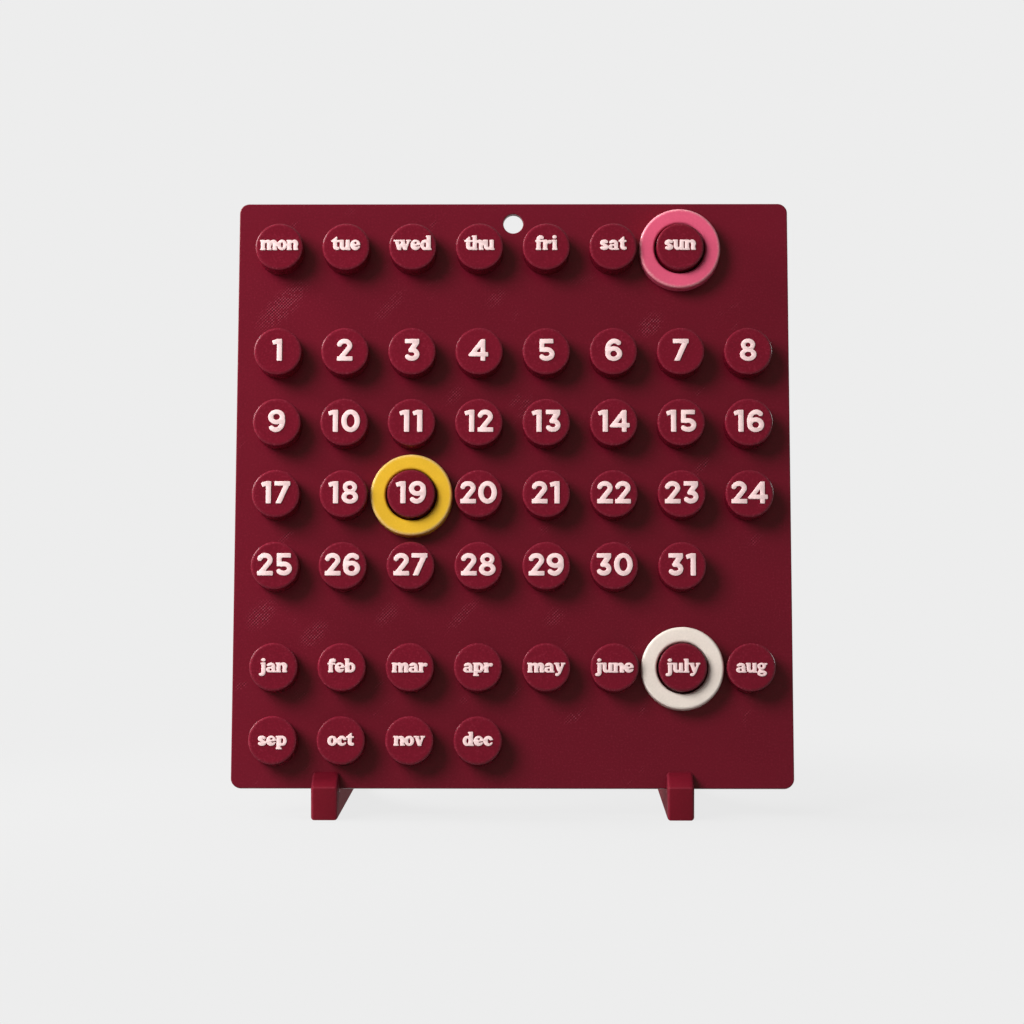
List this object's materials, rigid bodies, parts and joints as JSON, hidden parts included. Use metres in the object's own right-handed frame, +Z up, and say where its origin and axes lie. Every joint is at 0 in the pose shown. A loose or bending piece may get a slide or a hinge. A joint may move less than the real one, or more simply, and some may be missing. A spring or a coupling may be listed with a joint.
{
  "type": "perpetual desk calendar",
  "caption": "Flat panel leaning in slotted feet, with round pegs for weekdays, dates and months, and loose coloured rings that slip over the pegs to mark the day.",
  "frame": {"origin": "on the desk, midway between the panel's sides and midway from the feet's lips to their heels", "axes": "+X to the viewer's right along the panel, +Y back from the viewer, +Z up"},
  "size_m": [0.2, 0.106, 0.2202],
  "materials": {
    "panel_plastic": "matt printed burgundy plastic with faint slanting print lines",
    "peg_plastic": "satin printed burgundy plastic, smooth face",
    "foot_plastic": "matt printed burgundy plastic with layer lines on its sides",
    "lettering_plastic": "pale pinkish white plastic let flush into the peg faces",
    "pink_plastic": "satin pink plastic",
    "yellow_plastic": "satin yellow plastic",
    "off_white_plastic": "satin off-white plastic"
  },
  "bodies": {
    "panel": {"panel": "panel_plastic", "peg_mon": "peg_plastic", "peg_tue": "peg_plastic", "peg_wed": "peg_plastic", "peg_thu": "peg_plastic", "peg_fri": "peg_plastic", "peg_sat": "peg_plastic", "peg_sun": "peg_plastic", "peg_date_01": "peg_plastic", "peg_date_02": "peg_plastic", "peg_date_03": "peg_plastic", "peg_date_04": "peg_plastic", "peg_date_05": "peg_plastic", "peg_date_06": "peg_plastic", "peg_date_07": "peg_plastic", "peg_date_08": "peg_plastic", "peg_date_09": "peg_plastic", "peg_date_10": "peg_plastic", "peg_date_11": "peg_plastic", "peg_date_12": "peg_plastic", "peg_date_13": "peg_plastic", "peg_date_14": "peg_plastic", "peg_date_15": "peg_plastic", "peg_date_16": "peg_plastic", "peg_date_17": "peg_plastic", "peg_date_18": "peg_plastic", "peg_date_19": "peg_plastic", "peg_date_20": "peg_plastic", "peg_date_21": "peg_plastic", "peg_date_22": "peg_plastic", "peg_date_23": "peg_plastic", "peg_date_24": "peg_plastic", "peg_date_25": "peg_plastic", "peg_date_26": "peg_plastic", "peg_date_27": "peg_plastic", "peg_date_28": "peg_plastic", "peg_date_29": "peg_plastic", "peg_date_30": "peg_plastic", "peg_date_31": "peg_plastic", "peg_jan": "peg_plastic", "peg_feb": "peg_plastic", "peg_mar": "peg_plastic", "peg_apr": "peg_plastic", "peg_may": "peg_plastic", "peg_june": "peg_plastic", "peg_july": "peg_plastic", "peg_aug": "peg_plastic", "peg_sep": "peg_plastic", "peg_oct": "peg_plastic", "peg_nov": "peg_plastic", "peg_dec": "peg_plastic"},
    "weekday_ring": {"weekday_ring": "pink_plastic"},
    "date_ring": {"date_ring": "yellow_plastic"},
    "month_ring": {"month_ring": "off_white_plastic"},
    "foot_left": {"foot_left": "foot_plastic"},
    "foot_right": {"foot_right": "foot_plastic"}
  },
  "joints": [
    {"name": "weekday_ring_lift", "type": "slide", "parent": "panel", "child": "weekday_ring", "axis": [0, -0.9848, 0.1736], "range_m": [0, 0.015]},
    {"name": "date_ring_lift", "type": "slide", "parent": "panel", "child": "date_ring", "axis": [0, -0.9848, 0.1736], "range_m": [0, 0.015]},
    {"name": "month_ring_lift", "type": "slide", "parent": "panel", "child": "month_ring", "axis": [0, -0.9848, 0.1736], "range_m": [0, 0.015]},
    {"name": "foot_left_slide", "type": "slide", "parent": "panel", "child": "foot_left", "axis": [1, 0, 0], "range_m": [-0.028, 0.058]},
    {"name": "foot_right_slide", "type": "slide", "parent": "panel", "child": "foot_right", "axis": [1, 0, 0], "range_m": [-0.051, 0.035]}
  ]
}
